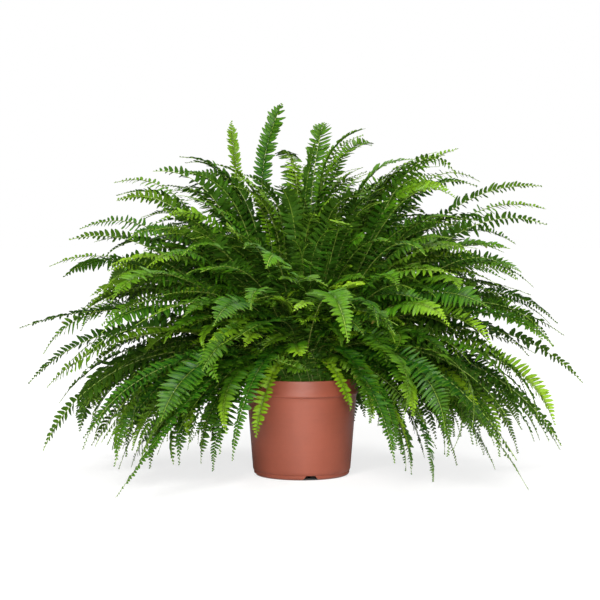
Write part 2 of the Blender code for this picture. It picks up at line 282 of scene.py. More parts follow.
def leaf_group():
    """Colour, gloss and relief of a leaflet from its place on the frond.

    The point attribute leaf_place holds the way along the frond, the way along the leaflet, and the way
    across it from -1 to 1. leaf_kind holds a random number for the leaflet, one for the frond, and how young
    it is.
    """
    name = "Leaflet"
    if name in bpy.data.node_groups:
        return bpy.data.node_groups[name]
    tree, start, end = new_group(
        name,
        (
            ("Deep", "NodeSocketColor", (0.02, 0.1, 0.01, 1)),
            ("Mature", "NodeSocketColor", (0.06, 0.2, 0.02, 1)),
            ("Young", "NodeSocketColor", (0.3, 0.5, 0.03, 1)),
            ("Underside", "NodeSocketColor", (0.1, 0.2, 0.05, 1)),
        ),
        (("Color", "NodeSocketColor"), ("Roughness", "NodeSocketFloat"), ("Height", "NodeSocketFloat")),
    )
    along, out, across = parts_of(tree, "leaf_place")
    chance, frond_chance, youth = parts_of(tree, "leaf_kind")
    under = node(tree, "ShaderNodeAttribute", attribute_name="leaf_under").outputs["Fac"]
    off_rib = maths(tree, "ABSOLUTE", across)
    mottle = mottled(tree, 55.0, 0.35)

    # full-grown green, from deep to mature by leaflet, frond and blotch
    own = maths(tree, "MULTIPLY", chance, 0.34)
    frond = maths(tree, "MULTIPLY", frond_chance, 0.58)
    blotch = maths(tree, "MULTIPLY", mottle["Mask"], 0.22)
    ripe = maths(tree, "ADD", own, frond, blotch, clamp=True)
    green = blended(tree, ripe, start["Deep"], start["Mature"])

    # the young tip of each frond, the young ends of its leaflets, and young fronds all over
    forward = eased(tree, frond_chance, 0.60, 1.0, 0.10, 0.75)
    at_tip = maths(tree, "MULTIPLY", eased(tree, along, 0.62, 1.0), forward)
    at_end = eased(tree, out, 0.55, 1.0, 0.0, 0.10)
    fresh = maths(tree, "ADD", at_tip, at_end, youth, clamp=True)
    green = blended(tree, fresh, green, start["Young"])

    # a pale midrib with faint side veins, then painted shade by the stalk and along the edges
    rib = eased(tree, off_rib, 0.03, 0.16, 0.34, 0.0)
    slant = maths(tree, "ADD", maths(tree, "MULTIPLY", out, 95.0), maths(tree, "MULTIPLY", off_rib, -9.0))
    vein = maths(tree, "SINE", slant)
    pale = blended(tree, rib, green, start["Young"])
    by_vein = eased(tree, vein, -1.0, 1.0, 0.94, 1.04)
    # painted shade: each leaflet darker where it meets the stalk and along its edges
    painted_shade_by_stalk = eased(tree, out, 0.0, 0.35, 0.52, 1.0)
    painted_shade_at_edge = eased(tree, off_rib, 0.65, 1.0, 1.0, 0.78)
    shade = maths(tree, "MULTIPLY", by_vein, painted_shade_by_stalk, painted_shade_at_edge)
    lit = node(tree, "ShaderNodeVectorMath", {0: pale, "Scale": shade}, operation="SCALE").outputs[0]

    # now and then a leaflet with a dry brown end
    dry_ones = eased(tree, chance, 0.990, 0.996)
    dry = maths(tree, "MULTIPLY", dry_ones, eased(tree, out, 0.45, 0.9), clamp=True)
    lit = blended(tree, dry, lit, (0.150, 0.120, 0.025, 1))

    # the duller underside, darkened further as painted shade
    below = blended(tree, 0.55, green, start["Underside"])
    gloss = eased(tree, mottle["Height"], 0.3, 0.7, 0.30, 0.44)
    hollow = eased(tree, off_rib, 0.0, 0.2, -0.5, 0.0)
    feed(tree, end, {
        "Color": blended(tree, under, lit, below),
        "Roughness": maths(tree, "ADD", gloss, maths(tree, "MULTIPLY", under, 0.22)),
        "Height": maths(tree, "ADD", maths(tree, "MULTIPLY", vein, 0.12), hollow),
    })
    return tree


def leaf_material(name, **colours):
    _, tree, shader = new_material(name)
    inputs = {key: opaque(value) for key, value in colours.items()}
    look = node(tree, "ShaderNodeGroup", inputs, node_tree=leaf_group()).outputs
    feed(tree, shader, {
        "Base Color": look["Color"],
        "Roughness": look["Roughness"],
        "Normal": bumped(tree, look["Height"], 0.35, 0.0006),
        "Specular IOR Level": 0.15,
    })


def leaf_materials():
    """Leaf finishes for each kind of frond, made once."""
    look = bpy.context.scene.fern_leaf
    fresher = [mixed_colour(look.mature, look.young, share) for share in (0.5, 0.85)]
    kinds = {
        "leaf_mature": (look.deep, look.mature),
        "leaf_dark": (look.deep, mixed_colour(look.deep, look.mature, 0.62)),
        "leaf_young": fresher,
    }
    for name, (deep, mature) in kinds.items():
        if name not in bpy.data.materials:
            leaf_material(name, Deep=deep, Mature=mature, Young=look.young, Underside=look.underside)
    return {name: bpy.data.materials[name] for name in kinds}


def stalk_material():
    """Stalks: brown and scaly at the crown, then green, then yellow-green at the tip."""
    name = "frond_stalk"
    if name in bpy.data.materials:
        return bpy.data.materials[name]
    look = bpy.context.scene.fern_leaf
    made, tree, shader = new_material(name)
    along = parts_of(tree, "leaf_place")[0]
    mottle = mottled(tree, 90.0, 0.6)
    brown = eased(tree, along, 0.0, 0.30, 0.75, 0.0)
    brown = maths(tree, "MULTIPLY", brown, eased(tree, mottle["Mask"], 0.0, 1.0, 0.6, 1.0))
    green = blended(tree, eased(tree, along, 0.5, 1.0, 0.0, 0.6), opaque(look.stem), opaque(look.young))
    feed(tree, shader, {
        "Base Color": blended(tree, brown, green, (0.105, 0.052, 0.018, 1)),
        "Normal": bumped(tree, mottle["Height"], 0.3, 0.0004),
        "Roughness": 0.48,
    })
    return made


# ---- meshes from arrays --------------------------------------------------------------


def tube_faces(rows, sides):
    """Faces of a closed tube: its rings of corners from the base out, its tip, and the cap on its base."""
    row, corner = np.meshgrid(np.arange(rows - 1), np.arange(sides), indexing="ij")
    near, far, after = sides * row, sides * (row + 1), (corner + 1) % sides
    quads = np.stack([near + corner, near + after, far + after, far + corner], axis=-1).reshape(-1, 4)
    last = sides * (rows - 1)
    tips = [[last + c, last + (c + 1) % sides, sides * rows] for c in range(sides)]
    return quads, np.array(tips), np.arange(sides)[::-1][None]


def tube_map(heights, cap):
    """Map places of the same faces: the sides unrolled next to each other, base down."""
    sides = len(cap)
    row, corner = np.meshgrid(np.arange(len(heights) - 1), np.arange(sides), indexing="ij")
    low, high, left, right = heights[row], heights[row + 1], corner / sides, (corner + 1) / sides
    places = ((left, low), (right, low), (right, high), (left, high))
    quads = np.stack([np.stack(place, axis=-1) for place in places], axis=-2).reshape(-1, 4, 2)
    top = heights[-1]
    tips = [[[c / sides, top], [(c + 1) / sides, top], [(c + 0.5) / sides, 1]] for c in range(sides)]
    return quads, np.array(tips), np.array(cap)[::-1][None]


CELL_MARGIN = 0.06  # bare edge of a cell of the map, as a share of the cell
CELL_HEIGHT = 1.5  # of a cell, next to its width


class Sheaf:
    """Gathers leaflets and stalks as arrays, then makes one mesh of them.

    Each leaflet or stalk has its own cell in the mesh's UV map.
    """

    def __init__(self):
        self.arrays = defaultdict(list)
        self.point_count = self.cell_count = 0

    def keep(self, **arrays):
        for name, array in arrays.items():
            self.arrays[name].append(array)

    def add(self, points, place, kind, heights, cap, under, slot, mirrored=(False,)):
        """Adds closed tubes that are alike, each with its corners in points.

        heights is how far up its map each ring lies, and cap is where the corners of its base lie there.
        under has a 1 for each side that faces down. Mirrored tubes have their faces turned over.
        """
        tubes, per = points.shape[:2]
        first = self.point_count + np.arange(tubes)[:, None, None] * per
        cells = self.cell_count + np.arange(tubes)
        shapes = zip(tube_faces(len(heights), len(cap)), tube_map(heights, cap), (under, under, (0,)))
        over = np.array(mirrored)[:, None, None]
        for face, spot, below in shapes:
            faces = np.where(over, (first + face)[:, :, ::-1], first + face)
            spots = np.where(over[..., None], spot[:, ::-1], spot)
            count, size = tubes * len(face), face.shape[1]
            self.keep(
                corners=faces.ravel(),
                sizes=np.full(count, size),
                uv=spots.reshape(-1, 2),
                cells=np.repeat(cells, len(face) * size),
                under=np.tile(below, count // len(below)),
                slots=np.full(count, slot),
            )
        self.keep(points=points.reshape(-1, 3), place=place, kind=kind)
        self.point_count += tubes * per
        self.cell_count += tubes

    def mesh(self, name):
        whole = {label: np.concatenate(arrays) for label, arrays in self.arrays.items()}
        made = bpy.data.meshes.new(name)
        made.vertices.add(len(whole["points"]))
        made.loops.add(len(whole["corners"]))
        made.polygons.add(len(whole["sizes"]))
        starts = np.cumsum(whole["sizes"]) - whole["sizes"]
        fill(made.vertices, "co", whole["points"])
        fill(made.loops, "vertex_index", whole["corners"], np.int32)
        fill(made.polygons, "loop_start", starts, np.int32)
        fill(made.polygons, "material_index", whole["slots"], np.int32)
        made.update(calc_edges=True)
        fill(made.attributes.new("leaf_place", "FLOAT_VECTOR", "POINT").data, "vector", whole["place"])
        fill(made.attributes.new("leaf_kind", "FLOAT_VECTOR", "POINT").data, "vector", whole["kind"])
        fill(made.attributes.new("leaf_under", "FLOAT", "FACE").data, "value", whole["under"])
        fill(made.uv_layers.new(name="OFBake").data, "uv", self.map(whole["cells"], whole["uv"]))
        return smoothed(made, 60)

    def map(self, cells, uv):
        """Places each tube's cell in a grid that fills the map."""
        columns = math.ceil(math.sqrt(self.cell_count * CELL_HEIGHT))
        rows = math.ceil(self.cell_count / columns)
        corner = np.stack([cells % columns, cells // columns], axis=1)
        return (corner + CELL_MARGIN + (1 - 2 * CELL_MARGIN) * uv) / (columns, rows)


def fill(items, name, values, kind=np.float32):
    items.foreach_set(name, values.astype(kind).ravel())


def smoothed(mesh, degrees):
    """Shades a mesh smoothly, but for its edges sharper than this."""
    mesh.shade_smooth()
    mesh.set_sharp_from_angle(angle=math.radians(degrees))
    return mesh


def placed(name, data):
    """A new object in the scene."""
    made = bpy.data.objects.new(name, data)
    bpy.context.scene.collection.objects.link(made)
    return made


def show(name, mesh, materials, nodes=()):
    """Makes a piece that rides on the plant's body."""
    for finish in materials:
        mesh.materials.append(finish)
    piece = placed(name, mesh)
    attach(piece, BODY)
    if nodes:
        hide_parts(*nodes)


def unit(vectors):
    return vectors / np.maximum(np.linalg.norm(vectors, axis=-1, keepdims=True), 1e-9)


def squared(vectors, heading):
    """Unit directions square to a heading."""
    return unit(vectors - (vectors * heading).sum(axis=1, keepdims=True) * heading)


def turned(first, second, angle):
    """Turns two square directions in their own plane, the first towards the second."""
    cos, sin = np.cos(angle)[:, None], np.sin(angle)[:, None]
    return cos * first + sin * second, cos * second - sin * first


def polar(radius, angle):
    return radius * math.cos(angle), radius * math.sin(angle)


def glide(values, at):
    """Values between evenly spaced stations, on a smooth curve through them; at runs from 0 to 1."""
    last = len(values) - 1
    spot = np.clip(at, 0, 1) * last
    low = np.minimum(spot.astype(int), last - 1)
    t = (spot - low).reshape(-1, *([1] * (values.ndim - 1)))
    a, b = values[np.maximum(low - 1, 0)], values[low]
    c, d = values[low + 1], values[np.minimum(low + 2, last)]
    return b + 0.5 * t * (c - a + t * (2 * a - 5 * b + 4 * c - d + t * (3 * (b - c) + d - a)))


def standing(course, at):
    """The points of a frond's course, and its widthways and upward directions there."""
    return glide(course.points, at), unit(glide(course.side, at)), unit(glide(course.over, at))


# ---- courses of the fronds -----------------------------------------------------------

# For how much of its chord a grown course keeps its first and its last direction
RISE_PULL, FALL_PULL = 0.42, 0.36
CURVE_STEPS = 120
TIP_WIDTH = 0.07  # least width of a grown frond before its very tip, as a share of its widest


def rings_of(name):
    """The rings of four corners that a frond's solid is made of, from its seat out, and its tip."""
    solid = NODES[name].data
    places = np.empty(3 * len(solid.vertices), np.float32)
    solid.vertices.foreach_get("co", places)
    corners, number = np.unique(np.round(places.reshape(-1, 3), 5), axis=0, return_inverse=True)
    pairs = np.empty(2 * len(solid.edges), np.int32)
    solid.edges.foreach_get("vertices", pairs)
    joined = [set() for _ in corners]
    for a, b in number.reshape(-1)[pairs].reshape(-1, 2):
        joined[a].add(b)
        joined[b].add(a)
    from_crown = np.linalg.norm(corners - (0, 0, CROWN_CENTRE), axis=1)
    ring = set(np.argsort(from_crown)[:4].tolist())
    rings, seen = [], set()
    while ring:
        rings.append(sorted(ring))
        seen |= ring
        ring = set().union(*(joined[corner] for corner in ring)) - seen
    return np.array([corners[ring] for ring in rings[:-1]]), corners[rings[-1][0]]


def course_of(name):
    """Reads a frond's course from its solid: each ring's widest pair of corners gives its width and side."""
    rings, tip = rings_of(name)
    if len(rings) != STATIONS - 1:
        raise RuntimeError(f"{name} has {len(rings)} rings instead of {STATIONS - 1}")
    points = np.vstack([rings.mean(axis=1), tip])
    heading = unit(np.gradient(points, axis=0))
    side, half = np.empty((STATIONS, 3)), np.empty(STATIONS)
    around = np.cross((0, 0, 1), points[0])
    pairs = [(a, b) for a in range(4) for b in range(a)]
    for index, ring in enumerate(rings):
        a, b = max(pairs, key=lambda pair: np.linalg.norm(ring[pair[0]] - ring[pair[1]]))
        across = ring[a] - ring[b]
        side[index] = across if across @ around > 0 else -across
        half[index] = np.linalg.norm(across) / 2
        around = side[index]
    side[-1], half[-1] = side[-2], 0
    side = squared(side, heading)
    return Course(points, side, np.cross(heading, side), half)


def arched(azimuth, reach, height, rise, fall, sweep, roll, width):
    """A frond's course from its seat on the crown to its tip; angles are in degrees."""
    up, down = math.radians(rise), math.radians(fall)
    start = np.array([CROWN_RADIUS * math.cos(up), CROWN_CENTRE + CROWN_RADIUS * math.sin(up)])
    tip = np.array([reach, height])
    chord = np.linalg.norm(tip - start)
    first = start + RISE_PULL * chord * np.array([math.cos(up), math.sin(up)])
    last = tip + FALL_PULL * chord * np.array([-math.cos(down), math.sin(down)])
    t = np.linspace(0, 1, CURVE_STEPS)[:, None]
    curve = (1 - t) ** 3 * start + 3 * t * (1 - t) ** 2 * first + 3 * t**2 * (1 - t) * last + t**3 * tip
    walked = np.concatenate([[0], np.cumsum(np.linalg.norm(np.diff(curve, axis=0), axis=1))])
    along = np.linspace(0, 1, STATIONS)
    out, high = (np.interp(along * walked[-1], walked, curve[:, axis]) for axis in (0, 1))
    turn = np.radians(azimuth + sweep * along**2)
    points = np.stack([out * np.cos(turn), out * np.sin(turn), high], axis=1)
    heading = unit(np.gradient(points, axis=0))
    side = squared(np.stack([-np.sin(turn), np.cos(turn), np.zeros(STATIONS)], axis=1), heading)
    over = np.cross(heading, side)
    way = np.clip((along - 0.1) / 0.9, 0, 1)  # the first tenth is bare stalk
    half = width / 2 * np.maximum(TIP_WIDTH * (along < 1), 1.30 * way**0.45 * (1 - way**2.2) ** 0.9)
    return Course(points, *turned(side, over, np.radians(roll * along)), half)


# ---- one frond -----------------------------------------------------------------------

# Rows of corners of a leaflet, as shares of its length; finer ones let it look toothed
LEAFLET_ROWS = {
    "fine": np.array([0.0, 0.05, 0.13, 0.27, 0.45, 0.63, 0.80, 0.93]),
    "plain": np.array([0.0, 0.10, 0.30, 0.56, 0.82]),
}
LEAST_PITCH = {"fine": 0.0080, "plain": 0.0062}  # least and most distance between leaflets
MOST_PITCH = 0.0128
FIRST_LEAFLET, LAST_LEAFLET = 0.085, 0.992  # as shares of the frond's length
LOST_LEAFLETS = 0.012  # share of leaflets that have fallen
SHORTEST_LEAFLET = 0.0030
LEAFLET_CAP = ((0, 0.03), (0.3, 0.03), (0.3, 0), (0, 0))
STALK_STEPS = {"fine": 46, "plain": 28}
STALK_SIDES = 6
FULL_STALK_AT = 0.03  # half width of the fronds whose stalks are full size


def crowded(share):
    """How close leaflets stand, next to where the frond is widest; share is its width there."""
    return 0.55 + 0.45 * share


def stalk_radius(at, stalk):
    return stalk * (1 - 0.58 * at**0.8)


def leaflet_spots(course, habit, rng):
    """Where along a frond its leaflets stand, which side each is on, and how far apart they are in metres."""
    span = np.linalg.norm(np.diff(course.points, axis=0), axis=1).sum()
    widest = 2 * course.half.max()
    pitch = np.clip(habit.spacing * widest, LEAST_PITCH[habit.rows], MOST_PITCH)
    step = pitch / span
    at, spots = FIRST_LEAFLET, []
    while at < LAST_LEAFLET:
        spots.append(at)
        share = float(glide(course.half, np.array([at]))[0]) * 2 / widest
        at += step * crowded(min(max(share, 0), 1))
    sign = np.tile([1.0, -1.0], len(spots))
    at = np.repeat(spots, 2)
    at[1::2] += step * 0.45
    kept = (rng.random(len(at)) > LOST_LEAFLETS) & (at < 0.995)
    return at[kept], sign[kept], pitch


def add_leaflets(sheaf, course, habit, rng, frond_chance, stalk, thickness):
    """Grows the two rows of leaflets, one side half a step behind the other."""
    at, sign, pitch = leaflet_spots(course, habit, rng)
    count, half = len(at), course.half.max()

    # how long and wide each is: the frond's tip is filled out, and that of an inner frond thins to a whip
    tip = 1 + habit.tip * np.clip((at - 0.52) / 0.40, 0, 1)
    whip = rng.uniform(0.10, 0.60) if habit.rows == "plain" else 0.0
    tip *= 1 - whip * np.clip((at - rng.uniform(0.80, 0.90)) / 0.07, 0, 1)
    reach = np.clip(1.12 * glide(course.half, at) * tip, SHORTEST_LEAFLET, habit.most * half)
    reach *= rng.uniform(0.92, 1.08, count)
    share = np.clip(reach / half, 0, 1)
    wide = np.minimum(pitch * crowded(share) * habit.breadth / 2 * rng.uniform(0.9, 1.1, count), 0.40 * reach)

    # which way each points: it leans to the tip, rises in ripples along the frond and turns about its length
    point, side, over = standing(course, at)
    ripple = np.sin(rng.uniform(4, 9) * at + rng.uniform(0, 6))
    lean = np.radians(4 + 32 * at**4 + 5 * ripple + rng.normal(0, 4.0, count))
    lift = np.radians(habit.lift + 9 * ripple + rng.normal(0, 6.0, count))
    twist = np.radians(habit.twist + rng.normal(0, 12.0, count))
    out, ahead = turned(sign[:, None] * side, np.cross(side, over), lean)
    out, up = turned(out, over, lift)
    ahead, up = turned(ahead, up, -twist)
    length = reach / np.cos(lean * 0.6)

    # its outline: an eared base, toothed edges, and an end that narrows, curves forward and hangs
    rows = LEAFLET_ROWS[habit.rows]
    u = rows[None, :]
    profile = np.minimum(1, 0.60 + 0.40 * np.sqrt(u / 0.13)) * (1 - u**2.6) ** 0.62
    ear = 0.34 * np.exp(-(((u - 0.10) / 0.09) ** 2))
    toothed = 1 + 0.05 * np.where(np.arange(len(rows)) % 2, 1, -1) * (u < 0.9)
    fore, aft = wide[:, None] * profile * (1 + ear) * toothed, wide[:, None] * profile * toothed
    sickle = (rng.normal(0.13, 0.06, count) * length)[:, None] * u**2
    droop = (np.maximum(habit.droop + rng.normal(0, 0.07, count), -0.05) * length)[:, None] * u**1.8
    swell = (rng.normal(0, 0.030, count) * length)[:, None]
    wave = swell * np.sin(2 * np.pi * u + rng.uniform(0, 6, count)[:, None])
    fold = rng.normal(0.16, 0.10, count)[:, None]
    thick = thickness / 2 * (1 - 0.65 * u) * np.sqrt(share)[:, None]
    base = stalk_radius(at, stalk) * 0.6

    def spot(across, raised):
        """Points at these distances forward and up from the leaflet's own line."""
        mid = point[:, None] + out[:, None] * (base[:, None] + u * length[:, None])[..., None]
        return mid + ahead[:, None] * (across + sickle)[..., None] + up[:, None] * (raised - droop)[..., None]

    edges = (spot(fore, fold * fore + wave), spot(0 * fore, thick))
    edges += (spot(-aft, fold * aft - wave), spot(0 * fore, -thick))
    end = point + out * (length + base)[:, None]
    end = end + ahead * sickle[:, -1:] / rows[-1] ** 2 - up * droop[:, -1:] / rows[-1] ** 1.8
    points = np.concatenate([np.stack(edges, axis=2).reshape(count, -1, 3), end[:, None]], axis=1)

    per = points.shape[1]
    across = np.append(np.tile([1.0, 0.0, -1.0, 0.0], len(rows)), 0.0)
    way = np.append(np.repeat(rows, 4), 1.0)
    place = np.stack([np.repeat(at, per), np.tile(way, count), np.tile(across, count)], axis=1)
    kind = np.stack([rng.random(count), np.full(count, frond_chance), np.full(count, habit.fresh)], axis=1)
    sheaf.add(
        points, place, np.repeat(kind, per, axis=0), 0.05 + 0.95 * rows, LEAFLET_CAP, under=(0, 0, 1, 1),
        slot=0, mirrored=sign > 0,
    )


def add_stalk(sheaf, course, habit, frond_chance, stalk):
    """The stalk that carries the leaflets: a tapering tube."""
    at = np.linspace(0, 0.997, STALK_STEPS[habit.rows])
    point, side, over = standing(course, at)
    angle = np.arange(STALK_SIDES) / STALK_SIDES * 2 * np.pi
    cos, sin = np.cos(angle), np.sin(angle)
    around = cos[None, :, None] * side[:, None] + sin[None, :, None] * over[:, None]
    ring = point[:, None] + around * stalk_radius(at, stalk)[:, None, None]
    points = np.concatenate([ring.reshape(-1, 3), course.points[-1:]])
    way = np.append(np.repeat(at, STALK_SIDES), 1.0)
    place = np.stack([way, 0 * way, 0 * way], axis=1)
    kind = np.tile([0.5, frond_chance, habit.fresh], (len(points), 1))
    cap = np.stack([0.1 + 0.08 * cos, 0.015 + 0.012 * sin], axis=1)
    sheaf.add(points[None], place, kind, 0.05 + 0.9 * at, cap, under=(0,), slot=1)


def add_frond(sheaf, course, habit, seed):
    look = bpy.context.scene.fern_leaf
    rng = np.random.default_rng((look.seed, seed))
    frond_chance = rng.random()
    stalk = look.stalk * np.clip(course.half.max() / FULL_STALK_AT, 0.55, 1.0)
    add_stalk(sheaf, course, habit, frond_chance, stalk)
    add_leaflets(sheaf, course, habit, rng, frond_chance, stalk, look.thickness)


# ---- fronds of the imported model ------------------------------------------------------


class FernOperator:
    """Shared by all the operators."""

    bl_options = {"REGISTER", "UNDO"}


class FernFrondOperator(FernOperator):
    """Shared by the operators that grow the fronds of one kind."""

    def grow(self, prefix, leaf, slot, first_seed, breadth, lift, droop, twist, tip, most, freshness):
        spacing = bpy.context.scene.fern_leaf.spacing
        names = sorted(name for name in NODES if name.startswith(prefix))
        if not names:
            raise RuntimeError(f"the frame has no {prefix} nodes")
        for index, name in enumerate(names):
            rng = np.random.default_rng((first_seed, index))
            fresh = freshness[index % len(freshness)]
            habit = Habit(
                spacing=spacing * rng.uniform(0.92, 1.12),
                rows="fine",
                breadth=breadth * rng.uniform(0.9, 1.1) * (1 - 0.3 * fresh),
                lift=lift + rng.normal(0, 9),
                droop=droop + rng.normal(0, 0.06),
                twist=twist,
                tip=tip,
                most=most,
                fresh=fresh,
            )
            sheaf = Sheaf()
            add_frond(sheaf, course_of(name), habit, first_seed + index)
            materials = (leaf_materials()[leaf], stalk_material())
            show(f"{name}_leaflets", sheaf.mesh(f"{name}_leaflets"), materials, (name,))
        return {"FINISHED"}


class FERN_OT_upright(FernFrondOperator, bpy.types.Operator):
    """Grow the fronds that stand up from the crown"""

    bl_idname = "fern.upright"
    bl_label = "Upright Fronds"

    def execute(self, context):
        return self.grow(
            "upright_frond", "leaf_dark", "frond_mature", first_seed=100, breadth=0.96, lift=8, droop=0.08,
            twist=14, tip=1.6, most=0.88, freshness=(0.0, 0.04, 0.02, 0.14, 0.12, 0.36, 0.04, 0.08, 0.0),
        )


class FERN_OT_arching(FernFrondOperator, bpy.types.Operator):
    """Grow the fronds that arch out from the crown"""

    bl_idname = "fern.arching"
    bl_label = "Arching Fronds"

    def execute(self, context):
        return self.grow(
            "arching_frond", "leaf_mature", "frond_mature", first_seed=200, breadth=0.78, lift=14, droop=0.16,
            twist=30, tip=0.0, most=1.2, freshness=(0.0, 0.05, 0.0, 0.12, 0.02),
        )


class FERN_OT_trailing(FernFrondOperator, bpy.types.Operator):
    """Grow the old fronds that hang low around the pot"""

    bl_idname = "fern.trailing"
    bl_label = "Trailing Fronds"

    def execute(self, context):
        return self.grow(
            "trailing_frond", "leaf_dark", "frond_dark", first_seed=300, breadth=0.86, lift=6, droop=0.16,
            twist=18, tip=-0.1, most=1.2, freshness=(0.0, 0.0, 0.06, 0.0, 0.12),
        )


class FERN_OT_young(FernFrondOperator, bpy.types.Operator):
    """Grow the young yellow-green fronds over the rim"""

    bl_idname = "fern.young"
    bl_label = "Young Fronds"

    def execute(self, context):
        return self.grow(
            "young_frond", "leaf_young", "frond_young", first_seed=400, breadth=0.92, lift=14, droop=0.18,
            twist=34, tip=0.3, most=1.2, freshness=(0.40, 0.2, 0.3),
        )


# ---- inner growth --------------------------------------------------------------------

# A kind of inner growth: how many fronds, and where their tips lie, from and to, as degrees above the crown's
# level and as shares of the plant's reach; then their width, how fresh they are, their leaf and slot, their
# azimuths, and how many pieces around the plant they are shared between
Growth = namedtuple("Growth", "name count level share width fresh look azimuths clusters")

MATURE = ("leaf_mature", "frond_mature")
DARK = ("leaf_dark", "frond_dark")
ALL_ROUND = ((0, 360),)
MORE_BEHIND = ((0, 360), (0, 360), (0, 360), (-45, 150))
AROUND_CROWN = ((0, 360), (212, 328))
BESIDE_POT = ((188, 246), (294, 352))
IN_FRONT = ((205, 335),)
INNER_GROWTH = (
    Growth("outer", 240, (2, 88), (0.78, 0.99), (0.054, 0.068), 0.03, MATURE, MORE_BEHIND, 12),
    Growth("middle", 204, (4, 85), (0.52, 0.80), (0.050, 0.064), 0.03, MATURE, MORE_BEHIND, 6),
    Growth("spire", 76, (54, 90), (0.44, 0.84), (0.046, 0.062), 0.02, MATURE, ALL_ROUND, 2),
    Growth("skirt", 132, (-18, 4), (0.66, 0.97), (0.050, 0.066), 0.0, DARK, ALL_ROUND, 6),
    Growth("heart", 110, (10, 80), (0.26, 0.54), (0.038, 0.054), 0.04, MATURE, ALL_ROUND, 4),
    Growth("tuft", 90, (4, 66), (0.15, 0.29), (0.022, 0.034), 0.02, DARK, ALL_ROUND, 4),
    Growth("veil", 76, (-30, 0), (0.36, 0.80), (0.036, 0.056), 0.0, DARK, BESIDE_POT, 8),
    Growth("nest", 170, (6, 72), (0.20, 0.35), (0.028, 0.044), 0.06, MATURE, AROUND_CROWN, 4),
    Growth("front", 72, (14, 72), (0.36, 0.70), (0.038, 0.054), 0.08, MATURE, IN_FRONT, 4),
)
GOLDEN_RATIO = (math.sqrt(5) - 1) / 2
PLANT_REACH = 0.485  # from the crown to the tips of the longest fronds
LEAST_REACH, LOWEST_TIP = 0.03, 0.02
BARE_FRONT = 0.066  # half the width of the pot's front that nothing hangs before
BEFORE_POT = -0.085  # what lies nearer to the front than this hangs before the pot

# How far above the rim fronds pass before the pot, and how much higher for each metre nearer to the front
CLEARANCE, LOW_CLEARANCE = (0.05, 0.25), (0.004, 0.06)
TRIES = 12


def hides_pot(course, above, slope):
    """Whether a frond hangs before the middle of the pot's front, or just above it."""
    x, y, z = course.points.T
    return np.any((y < BEFORE_POT) & (np.abs(x) < BARE_FRONT) & (z < POT_HIGH.z + above - slope * y))


def inner_course(growth, index, rng):
    """A frond of the inner growth: the higher its tip lies, the steeper it rises and the less it falls.

    Those of the nest start anywhere on the crown and go every way. Before the pot fronds are shorter and lie
    higher, and one that would still hide it is lifted until it doesn't.
    """
    nest, near = growth.name == "nest", growth.name == "front"
    first, last = growth.azimuths[index % len(growth.azimuths)]
    azimuth = first + (last - first) * ((index * GOLDEN_RATIO + rng.uniform(-0.01, 0.01)) % 1)
    azimuth -= 15 * math.sin(math.radians(2 * azimuth))
    before = max(0, 1 - abs(azimuth - 270) / 50)
    low, high = (math.sin(math.radians(value)) for value in growth.level)
    level = math.degrees(math.asin(low + (high - low) * rng.random()))
    level = 0.5 * (level + rng.uniform(*growth.level)) + (8 if near else 26) * before
    share = rng.uniform(*growth.share) * (1 - 0.34 * before)
    width = rng.uniform(*growth.width)
    clearance = LOW_CLEARANCE if nest or near else CLEARANCE
    for _ in range(TRIES):
        turn, tilt = math.radians(azimuth), math.radians(level)
        length = share * PLANT_REACH * (1 - 0.08 * abs(math.sin(turn) * math.cos(tilt)))
        length *= 1 + 0.07 * max(math.sin(tilt), 0)
        reach = max(length * math.cos(tilt), LEAST_REACH)
        height = max(CROWN_CENTRE + length * math.sin(tilt), LOWEST_TIP)
        rise = np.clip(40 + 0.42 * level + 26 * (1 - share) + rng.normal(0, 4), 30, 86)
        fall = np.clip(62 - level + rng.normal(0, 9), -30, 82)
        sweep, roll = rng.normal(0, 10 + 16 * (1 - share)), rng.normal(0, 32)
        if nest:
            rise, fall, sweep, roll = rng.uniform(8, 82), rng.uniform(-30, 75), 2 * sweep, 2 * roll
        course = arched(azimuth, reach, height, rise, fall, sweep, roll, width)
        if not hides_pot(course, *clearance):
            break
        level += rng.uniform(7, 22)
    return course


def inner_habit(growth, rng):
    spacing = bpy.context.scene.fern_leaf.spacing
    return Habit(
        spacing=spacing * rng.uniform(0.98, 1.25) * (1.4 if growth.name == "nest" else 1),
        rows="plain",
        breadth=rng.uniform(0.60, 0.92),
        lift=rng.normal(8, 10),
        droop=rng.normal(0.16, 0.08),
        twist=rng.uniform(14, 34),
        tip=rng.uniform(-0.1, 0.8),
        most=1.2,
        fresh=max(0, growth.fresh + rng.normal(0, 0.05) + 0.4 * rng.random() ** 8),
    )


class FERN_OT_inner(FernOperator, bpy.types.Operator):
    """Grow the many fronds inside the plant that fill its body"""

    bl_idname = "fern.inner"
    bl_label = "Inner Fronds"

    def execute(self, context):
        for group, growth in enumerate(INNER_GROWTH):
            leaf, slot = growth.look
            sheaves = [Sheaf() for _ in range(growth.clusters)]
            for index in range(growth.count):
                seed = 1000 * (group + 1) + index
                rng = np.random.default_rng((context.scene.fern_leaf.seed, seed, 7))
                course = inner_course(growth, index, rng)
                tip = course.points[-1]
                sector = int((math.atan2(tip[1], tip[0]) / (2 * math.pi) % 1) * growth.clusters)
                add_frond(sheaves[sector], course, inner_habit(growth, rng), seed)
            for sector, sheaf in enumerate(sheaves):
                if sheaf.point_count:
                    name = f"{growth.name}_fronds_{sector + 1}"
                    show(name, sheaf.mesh(name), (leaf_materials()[leaf], stalk_material()))
        return {"FINISHED"}


# ---- pot -----------------------------------------------------------------------------

